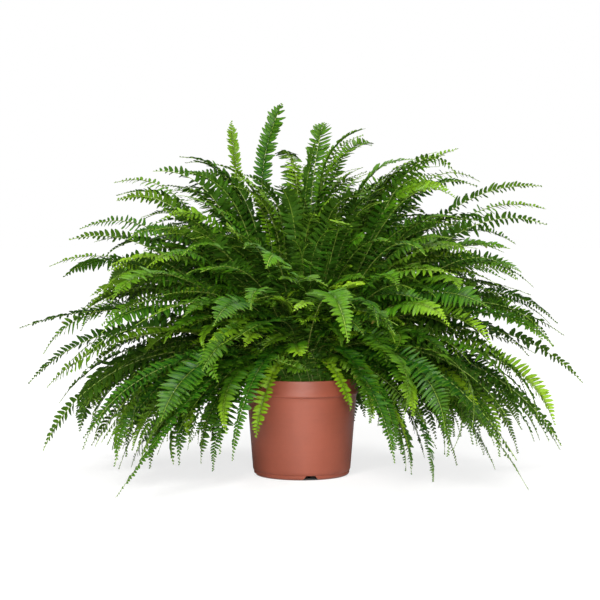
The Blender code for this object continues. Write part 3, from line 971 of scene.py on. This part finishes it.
POT_FOOT = 0.0812  # radius at which the pot's foot starts to round up
FOOT_ROUND = (0.0056, 0.0050)  # how far the foot's rounding reaches out and up
NOTCHES, FIRST_NOTCH = 4, 280.6  # notches through the foot ring, and the direction of the first in degrees
NOTCH_FROM, NOTCH_TO, NOTCH_HEIGHT = 0.0710, POT_FOOT + 0.012, 0.0078
HOLES, HOLE_RADIUS, HOLES_AT = 5, 0.0065, 0.048
BASE_MIDDLE, HOLE_DEPTH = 0.009, 0.009  # height of the base's middle, and the depth cut through it there


def pot_material():
    """Satin polypropylene with faint flow lines around it and fine scuffs."""
    made, tree, shader = new_material("pot_plastic")
    colour = bpy.context.scene.fern_pot.colour
    mottle = mottled(tree, 14.0, 0.25)
    place = object_place(tree)
    spread = node(tree, "ShaderNodeMapping", {"Vector": place, "Scale": (6.0, 6.0, 260.0)}).outputs[0]
    flow = noise(tree, spread, 1.0, 2.0)
    scuffs = noise(tree, place, 320.0, 4.0)
    tone = blended(tree, mottle["Mask"], opaque(scaled(colour, 0.86)), opaque(colour))
    satin = eased(tree, scuffs, 0.3, 0.7, 0.42, 0.52)
    uneven = eased(tree, mottle["Height"], 0.3, 0.7, 0.0, 0.07)
    height = maths(tree, "ADD", maths(tree, "MULTIPLY", scuffs, 0.4), flow)
    lines = eased(tree, flow, 0.35, 0.65, 0.0, 0.08)
    feed(tree, shader, {
        "Base Color": blended(tree, lines, tone, opaque(scaled(colour, 1.25))),
        "Roughness": maths(tree, "ADD", satin, uneven),
        "Normal": bumped(tree, height, 0.07, 0.0003),
        "Specular IOR Level": 0.5,
    })
    return made


def pot_profile(wall):
    """The pot's section, up its outside and down its inside, as radii and heights."""
    top = POT_HIGH.z
    ridge = POT_HIGH.x  # the stacking ridge is the widest part
    collar = ridge - 0.0030
    body_top, body_foot = ridge - 0.0035, ridge - 0.0140
    lip = wall * 0.5
    outside = [
        (0.0, 0.0080), (0.0735, 0.0080), (0.0742, 0.0072), (0.0748, 0.0008), (0.0756, 0.0), (POT_FOOT, 0.0),
    ]
    # the rounded foot, then the fine bead above it
    out, up = FOOT_ROUND
    for step in range(1, 6):
        angle = math.radians(-90 + 15 * step)
        outside.append((POT_FOOT + out * math.cos(angle), up + up * math.sin(angle)))
    outside += [
        (0.0868, 0.0064), (0.0863, 0.0070), (0.0866, 0.0078), (0.0876, 0.0088), (0.0886, 0.0118),
        (body_foot, 0.0160), (body_foot + 0.0035, 0.0600), (body_foot + 0.0070, 0.1050),
        (body_top - 0.0006, 0.1400), (body_top, 0.1466), (body_top + 0.0003, 0.1474),
        (ridge - 0.0016, 0.1478), (ridge - 0.0006, 0.1484), (ridge - 0.0001, 0.1494), (ridge, 0.1506),
        (ridge - 0.0004, 0.1524), (ridge - 0.0012, 0.1548), (ridge - 0.0020, 0.1576),
        (ridge - 0.0026, 0.1612), (collar, 0.1660), (collar, top - lip * 1.8),
        (collar - lip * 0.3, top - lip * 0.5), (collar - lip, top),
    ]
    inside = [
        (collar - wall * 0.85, top - lip * 0.25), (collar - wall, top - lip), (collar - wall, 0.1560),
        (ridge - 0.0008 - wall, 0.1520), (ridge - 0.0008 - wall, 0.1500), (body_top - wall, 0.1455),
        (body_foot - wall, 0.0160), (0.0840, 0.0104), (0.0820, 0.0102), (0.0, 0.0102),
    ]
    return outside + inside


def drain_cutters():
    """Shapes to cut from the pot: notches through the foot ring and round holes through the base."""
    cutters = []
    shoulder = NOTCH_HEIGHT - 0.0004
    section = (
        (-0.0171, -0.004), (0.0171, -0.004), (0.0085, shoulder), (0.0076, NOTCH_HEIGHT),
        (-0.0076, NOTCH_HEIGHT), (-0.0085, shoulder),
    )
    for index in range(NOTCHES):
        shape = bmesh.new()
        face = shape.faces.new([shape.verts.new((NOTCH_FROM, across, up)) for across, up in section])
        far = bmesh.ops.extrude_face_region(shape, geom=[face])["geom"]
        moved = [v for v in far if isinstance(v, bmesh.types.BMVert)]
        bmesh.ops.translate(shape, verts=moved, vec=(NOTCH_TO - NOTCH_FROM, 0, 0))
        turn = Matrix.Rotation(math.radians(FIRST_NOTCH + 360 / NOTCHES * index), 3, "Z")
        bmesh.ops.rotate(shape, verts=shape.verts, cent=(0, 0, 0), matrix=turn)
        cutters.append(shape)
    for index in range(HOLES):
        shape = bmesh.new()
        angle = math.radians(360 / HOLES * index)
        centre = (*polar(HOLES_AT, angle), BASE_MIDDLE)
        bmesh.ops.create_cone(
            shape, cap_ends=True, segments=32, radius1=HOLE_RADIUS, radius2=HOLE_RADIUS, depth=HOLE_DEPTH,
            matrix=Matrix.Translation(centre),
        )
        cutters.append(shape)
    return cutters


def lathe(profile, steps):
    """A closed solid of revolution about Z."""
    shape = bmesh.new()
    points = [shape.verts.new((radius, 0, height)) for radius, height in profile]
    edges = [shape.edges.new(pair) for pair in zip(points, points[1:])]
    bmesh.ops.spin(
        shape, geom=points + edges, axis=(0, 0, 1), cent=(0, 0, 0), angle=2 * math.pi, steps=steps,
        use_merge=True,
    )
    bmesh.ops.remove_doubles(shape, verts=shape.verts, dist=1e-6)
    bmesh.ops.recalc_face_normals(shape, faces=shape.faces)
    return shape


def mesh_from(shape, name):
    bmesh.ops.recalc_face_normals(shape, faces=shape.faces)
    made = bpy.data.meshes.new(name)
    shape.to_mesh(made)
    shape.free()
    return made


class FERN_OT_pot(FernOperator, bpy.types.Operator):
    """Mould the pot with its collar, ridge, foot, notches and drain holes"""

    bl_idname = "fern.pot"
    bl_label = "Pot"

    def execute(self, context):
        settings = context.scene.fern_pot
        name = "moulded_pot"
        pot = placed(name, mesh_from(lathe(pot_profile(settings.wall), settings.steps), name))
        cutters = [placed("cutter", mesh_from(shape, "cutter")) for shape in drain_cutters()]
        for cutter in cutters:
            modifier = pot.modifiers.new(cutter.name, "BOOLEAN")
            modifier.operation, modifier.solver, modifier.object = "DIFFERENCE", "EXACT", cutter
        context.view_layer.update()
        graph = context.evaluated_depsgraph_get()
        cut = bpy.data.meshes.new_from_object(pot.evaluated_get(graph))
        for spare in (pot, *cutters):
            bpy.data.objects.remove(spare, do_unlink=True)
        cut.name = name
        show(name, smoothed(cut, 38), (pot_material(),), ("pot",))
        return {"FINISHED"}


# ---- compost and crown ---------------------------------------------------------------

SOIL_FOOT = 0.0820  # radius of the compost at the pot's base
SOIL_CLEARANCE = 0.0004  # between the compost and its solid's outline
SOIL_DIP = 0.0032  # how far the compost's surface falls from its middle to its edge
CROWN_SINK = 0.0012  # how far the crown's scales lie under its solid's surface
PERLITE_EVERY = 14  # one lump in so many is a white grain
STUB_RADIUS = 0.0022


def earth_material(name, colour, pale, roughness):
    """Compost or bark: dark crumbs with paler flecks and deep relief."""
    made, tree, shader = new_material(name)
    mottle = mottled(tree, 70.0, 0.55)
    feed(tree, shader, {
        "Base Color": blended(tree, mottle["Mask"], opaque(colour), opaque(pale)),
        "Normal": bumped(tree, mottle["Height"], 0.8, 0.0015),
        "Roughness": roughness,
    })
    return made


def add_lump(shape, centre, size, rng):
    """A small irregular lump."""
    made = bmesh.ops.create_icosphere(shape, subdivisions=1, radius=1.0)["verts"]
    stretch = rng.uniform(0.6, 1.3, 3) * size
    turn = Matrix.Rotation(rng.uniform(0, 6.28), 3, Vector(rng.normal(0, 1, 3)).normalized())
    for vertex in made:
        rough = Vector(vertex.co * (1 + rng.normal(0, 0.12)))
        vertex.co = turn @ Vector(a * b for a, b in zip(rough, stretch)) + Vector(centre)


class FERN_OT_soil(FernOperator, bpy.types.Operator):
    """Lay the compost: a crumbly surface with loose lumps and a few white grains"""

    bl_idname = "fern.soil"
    bl_label = "Compost"

    def execute(self, context):
        settings = context.scene.fern_soil
        rng = np.random.default_rng((context.scene.fern_leaf.seed, 31))
        low, top = SOIL_LOW.z, SOIL_HIGH.z
        edge = SOIL_HIGH.x - SOIL_CLEARANCE
        profile = [(0.0, low), (SOIL_FOOT, low), (edge - 0.0045, low + 0.12), (edge, top - SOIL_DIP - 0.0004)]
        profile += [(edge * share, top - SOIL_DIP * share**3) for share in np.linspace(0.97, 0, 26)]
        profile[-1] = (0.0, top)
        shape = lathe(profile, 96)

        # the surface sinks unevenly, and lumps lie on it outside the crown
        for vertex in shape.verts:
            radius = math.hypot(vertex.co.x, vertex.co.y)
            if vertex.co.z > top - 0.004 and radius < edge * 0.985:
                vertex.co.z -= abs(rng.normal(0, 0.0007)) + 0.0002
        for index in range(settings.lumps):
            radius = math.sqrt(rng.uniform(0.30, 0.93)) * edge
            angle = rng.uniform(0, 2 * math.pi)
            size = rng.uniform(0.0008, 0.0026)
            before = len(shape.faces)
            add_lump(shape, (*polar(radius, angle), top - 0.0024 + 0.4 * size), size, rng)
            if index % PERLITE_EVERY == 0:
                shape.faces.ensure_lookup_table()
                for face in shape.faces[before:]:
                    face.material_index = 1
        materials = (
            earth_material("compost", settings.colour, scaled(settings.colour, 2.6), 0.95),
            earth_material("perlite", (0.55, 0.54, 0.50), (0.75, 0.74, 0.70), 0.9),
        )
        show("compost", smoothed(mesh_from(shape, "compost"), 40), materials, ("soil",))
        return {"FINISHED"}


class FERN_OT_crown(FernOperator, bpy.types.Operator):
    """Build the crown: a scaly clump with the stubs of old fronds"""

    bl_idname = "fern.crown"
    bl_label = "Crown"

    def execute(self, context):
        settings = context.scene.fern_soil
        rng = np.random.default_rng((context.scene.fern_leaf.seed, 47))
        centre = Vector((0, 0, CROWN_CENTRE))
        low, steps = CROWN_LOW.z, 18
        lowest = math.asin((low - CROWN_CENTRE) / CROWN_RADIUS)
        radius = CROWN_RADIUS - CROWN_SINK
        profile = [(0.0, low), (radius * math.cos(lowest), low)]
        for step in range(1, steps + 1):
            out, up = polar(radius, lowest + step * (math.pi / 2 - lowest) / steps)
            profile.append((out, CROWN_CENTRE + up))
        profile[-1] = (0.0, profile[-1][1])
        shape = lathe(profile, 64)
        for vertex in shape.verts:
            if vertex.co.z > low + 0.001:
                away = (vertex.co - centre).normalized()
                vertex.co += away * float(rng.normal(-0.0008, 0.0008))

        # the stubs stand out from the crown's surface, bent a little towards the light
        for _ in range(settings.stubs):
            turn, rise = rng.uniform(0, 2 * math.pi), math.radians(rng.uniform(24, 86))
            out, up = polar(1.0, rise)
            away = Vector((*polar(out, turn), up))
            length = rng.uniform(0.004, 0.017)
            middle = centre + away * (CROWN_RADIUS - 0.003 + length / 2)
            tilt = away.lerp(Vector((0, 0, 1)), rng.uniform(0.1, 0.5)).normalized()
            place = Matrix.Translation(middle) @ tilt.to_track_quat("Z", "Y").to_matrix().to_4x4()
            bmesh.ops.create_cone(
                shape, cap_ends=True, segments=7, radius1=STUB_RADIUS, radius2=rng.uniform(0.0007, 0.0014),
                depth=length, matrix=place,
            )
        finish = earth_material("crown_scales", settings.bark, scaled(settings.bark, 2.2), 0.8)
        show("scaly_crown", smoothed(mesh_from(shape, "scaly_crown"), 40), (finish,), ("crown",))
        return {"FINISHED"}


# ---- stage ---------------------------------------------------------------------------

SENSOR_WIDTH = 36.0
FLOOR_RADIUS, FLOOR_DROP = 30.0, 0.0003
LIGHT_TARGET = Vector((0, 0, 0.3))
SKY_STRENGTH = 0.15  # of the light from all around, next to how bright it looks

# Soft boxes: where each stands, its width and height, its power and its colour
SoftBox = namedtuple("SoftBox", "name place width height power colour")

SOFT_BOXES = (
    SoftBox("key_light", (-0.7, -2.3, 2.3), 1.2, 0.9, 88.0, (1.0, 0.985, 0.955)),
    SoftBox("front_light", (0.15, -3.3, 0.8), 1.0, 0.8, 73.0, (1.0, 0.99, 0.97)),
    SoftBox("fill_light", (2.4, -1.2, 1.4), 1.2, 1.6, 22.0, (1.0, 1.0, 1.0)),
    SoftBox("top_light", (0.1, 0.7, 2.9), 2.0, 1.6, 45.0, (1.0, 1.0, 0.98)),
)


class FERN_OT_stage(FernOperator, bpy.types.Operator):
    """Set out the floor, the studio light and the camera"""

    bl_idname = "fern.stage"
    bl_label = "Stage"

    def execute(self, context):
        scene, settings = context.scene, context.scene.fern_stage
        self.camera(scene, settings)
        self.floor(settings)
        self.lights()
        self.sky(scene)
        scene.view_settings.view_transform = "Standard"
        return {"FINISHED"}

    def camera(self, scene, settings):
        data = bpy.data.cameras.new("camera")
        data.lens, data.sensor_width = settings.lens, SENSOR_WIDTH
        scene.camera = placed("camera", data)
        scene.camera.location = (-settings.aside, -settings.distance, settings.height)
        scene.camera.rotation_euler = (math.pi / 2 - settings.pitch, 0, 0)

    def floor(self, settings):
        shape = bmesh.new()
        bmesh.ops.create_circle(shape, cap_ends=True, segments=96, radius=FLOOR_RADIUS)
        bmesh.ops.translate(shape, verts=shape.verts, vec=(0, 0, -FLOOR_DROP))
        floor = placed("floor", mesh_from(shape, "floor"))
        floor.data.materials.append(self.floor_material(settings))

    def floor_material(self, settings):
        """A pale sweep: shadows show softly around the pot, and it fades into the white behind. The camera
        sees it glow as painted light, more strongly further out where the lamps' light falls off, and not at
        all under the pot, which is left darker there as painted shade.
        """
        made, tree, shader = new_material("studio_floor")
        place = object_place(tree)
        away = node(tree, "ShaderNodeVectorMath", {0: place}, operation="LENGTH").outputs["Value"]
        seen = node(tree, "ShaderNodeLightPath").outputs["Is Camera Ray"]
        # painted light: a glow that grows further out; painted shade: no glow under the pot
        painted_glow_by_distance, painted_glow_outside_pot = eased(tree, away, 0.30, 2.2, 0.76, 1.0), eased(tree, away, 0.078, 0.086)
        tint = scaled(settings.floor, settings.glow_share)
        feed(tree, shader, {
            "Base Color": blended(tree, seen, opaque(settings.floor), opaque(tint)),
            "Emission Strength": maths(tree, "MULTIPLY", painted_glow_by_distance, painted_glow_outside_pot, seen),
            "Emission Color": (1, 1, 1, 1),
            "Roughness": 0.9,
            "Specular IOR Level": 0.0,
        })
        return made

    def lights(self):
        for box in SOFT_BOXES:
            data = bpy.data.lights.new(box.name, "AREA")
            data.shape, data.size, data.size_y = "RECTANGLE", box.width, box.height
            data.energy, data.color = box.power, box.colour
            light = placed(box.name, data)
            light.location = box.place
            light.rotation_euler = (LIGHT_TARGET - light.location).to_track_quat("-Z", "Y").to_euler()

    def sky(self, scene):
        """White all around, seen at full strength and giving a softer light."""
        scene.world = bpy.data.worlds.new("studio")
        scene.world.use_nodes = True
        tree = scene.world.node_tree
        seen = node(tree, "ShaderNodeLightPath").outputs["Is Camera Ray"]
        strength = eased(tree, seen, 0.0, 1.0, SKY_STRENGTH, 1.0)
        feed(tree, tree.nodes["Background"], {"Color": (1, 1, 1, 1), "Strength": strength})


class FERN_PT_panel(bpy.types.Panel):
    """The parts of the fern, each with its button"""

    bl_idname = "FERN_PT_panel"
    bl_label = "Potted Sword Fern"
    bl_space_type = "VIEW_3D"
    bl_region_type = "UI"
    bl_category = "Fern"

    def draw(self, context):
        for operator in OPERATORS:
            self.layout.operator(operator.bl_idname)
        for name in SETTINGS:
            settings = getattr(context.scene, name)
            box = self.layout.box()
            for prop in settings.bl_rna.properties:
                if not prop.is_readonly and prop.identifier != "name":
                    box.prop(settings, prop.identifier)


OPERATORS = (
    FERN_OT_stage,
    FERN_OT_pot,
    FERN_OT_soil,
    FERN_OT_crown,
    FERN_OT_upright,
    FERN_OT_arching,
    FERN_OT_trailing,
    FERN_OT_young,
    FERN_OT_inner,
)
SETTINGS = {
    "fern_pot": FernPotSettings,
    "fern_leaf": FernLeafSettings,
    "fern_soil": FernSoilSettings,
    "fern_stage": FernStageSettings,
}


def register():
    for made in (*SETTINGS.values(), *OPERATORS, FERN_PT_panel):
        bpy.utils.register_class(made)
    for name, group in SETTINGS.items():
        setattr(bpy.types.Scene, name, PointerProperty(type=group))


def unregister():
    for name in SETTINGS:
        delattr(bpy.types.Scene, name)
    for made in reversed((*SETTINGS.values(), *OPERATORS, FERN_PT_panel)):
        bpy.utils.unregister_class(made)


def main():
    register()
    for operator in OPERATORS:
        family, name = operator.bl_idname.split(".")
        getattr(getattr(bpy.ops, family), name)()


if __name__ == "__main__":
    main()
